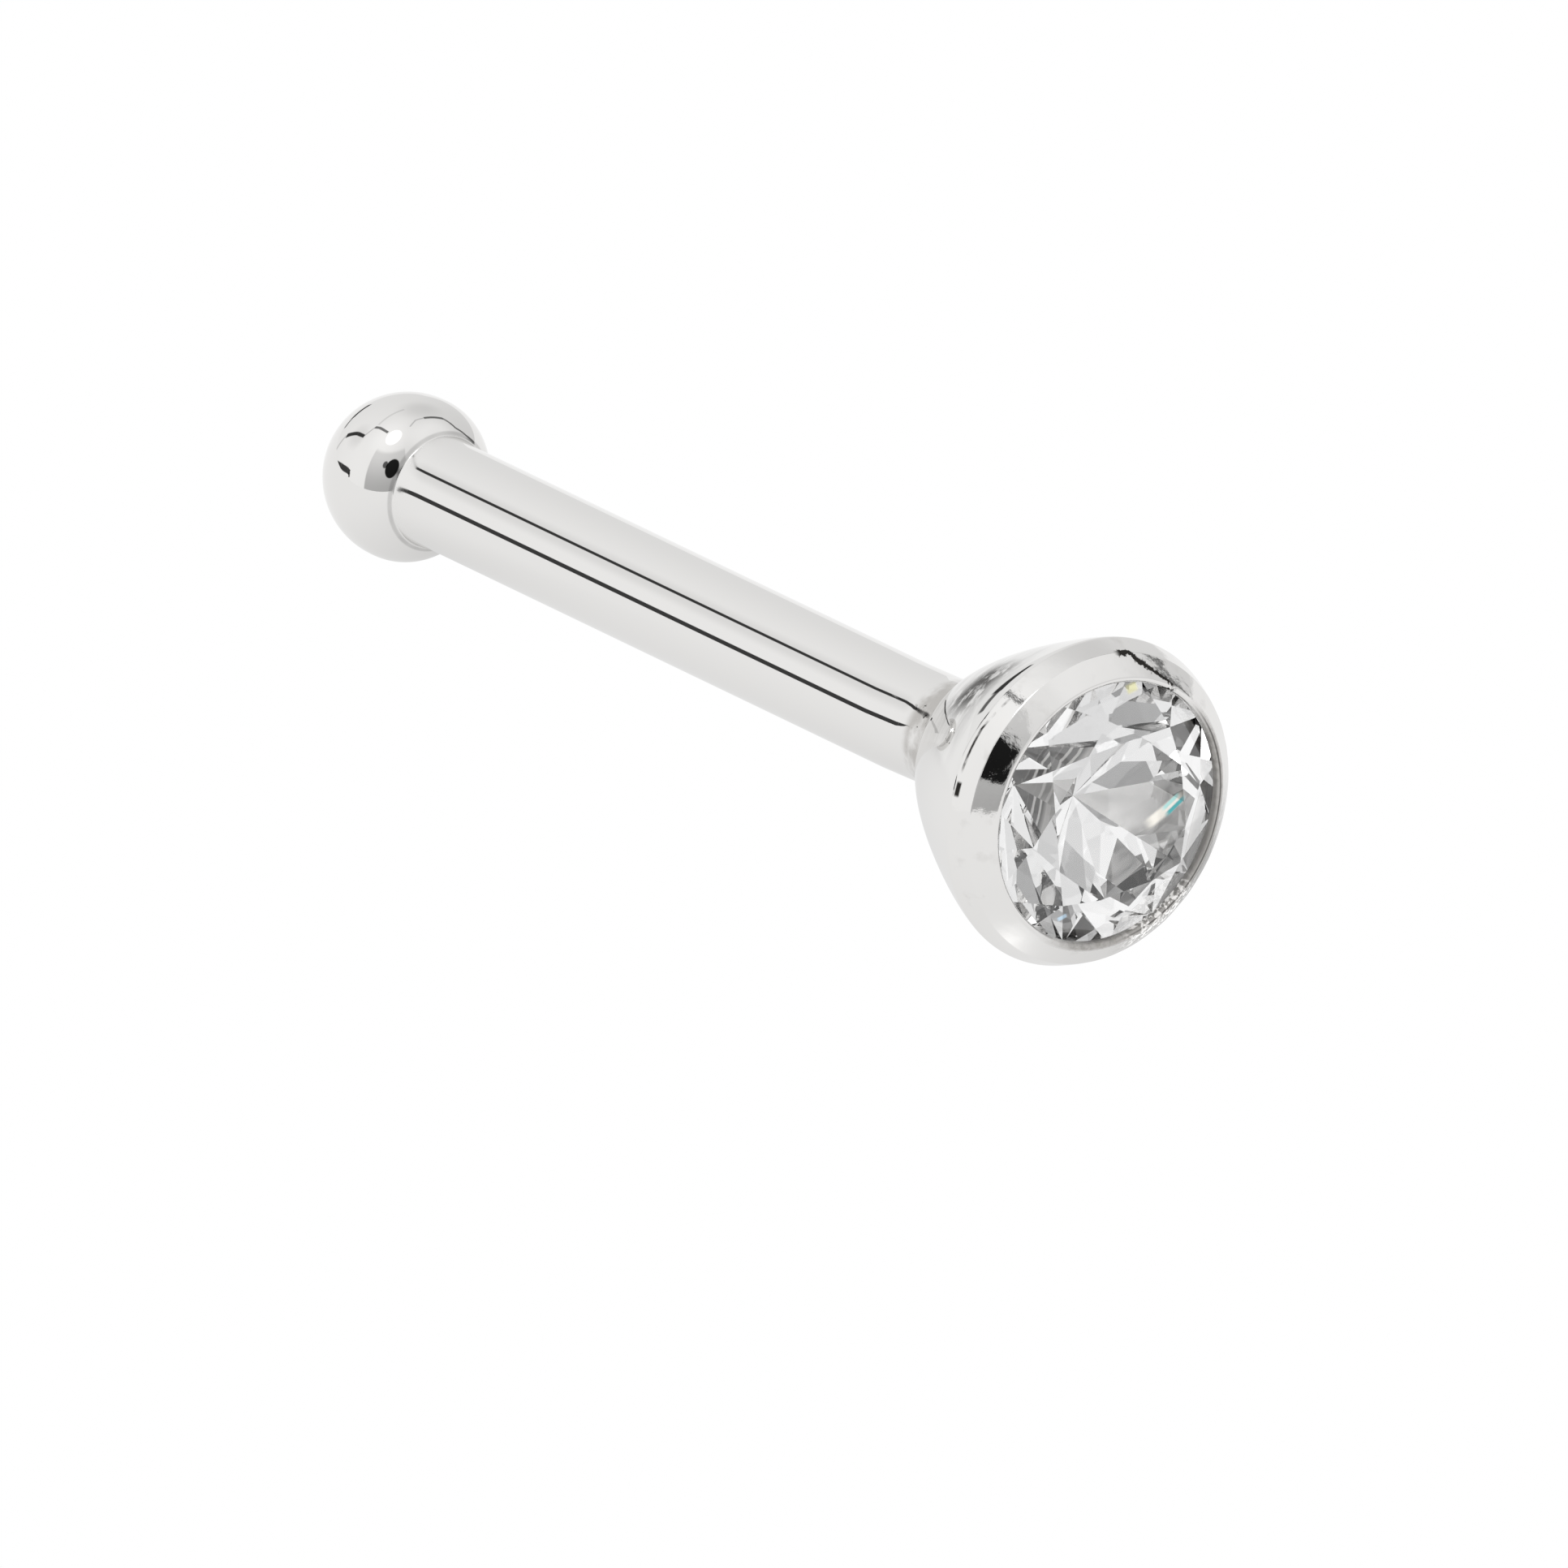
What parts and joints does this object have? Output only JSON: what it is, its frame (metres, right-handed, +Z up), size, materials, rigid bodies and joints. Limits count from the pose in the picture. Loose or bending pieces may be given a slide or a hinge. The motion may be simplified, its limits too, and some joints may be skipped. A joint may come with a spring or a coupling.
{
  "type": "nose stud",
  "caption": "Straight nose stud with a ball end and a bezel-set round brilliant stone, lying on its side.",
  "frame": {"origin": "on the surface the stud lies on, under the middle of its bounding box", "axes": "+X along the lying stud from the ball end towards the stone, +Z up; the stud's own axis rises 4.3 degrees from the ball to the wider bezel"},
  "size_m": [0.0092, 0.0024, 0.0025],
  "materials": {
    "silver": "polished",
    "clear_stone": "cut and polished"
  },
  "bodies": {
    "root": {"bezel_post": "silver", "stone": "clear_stone"}
  },
  "joints": []
}
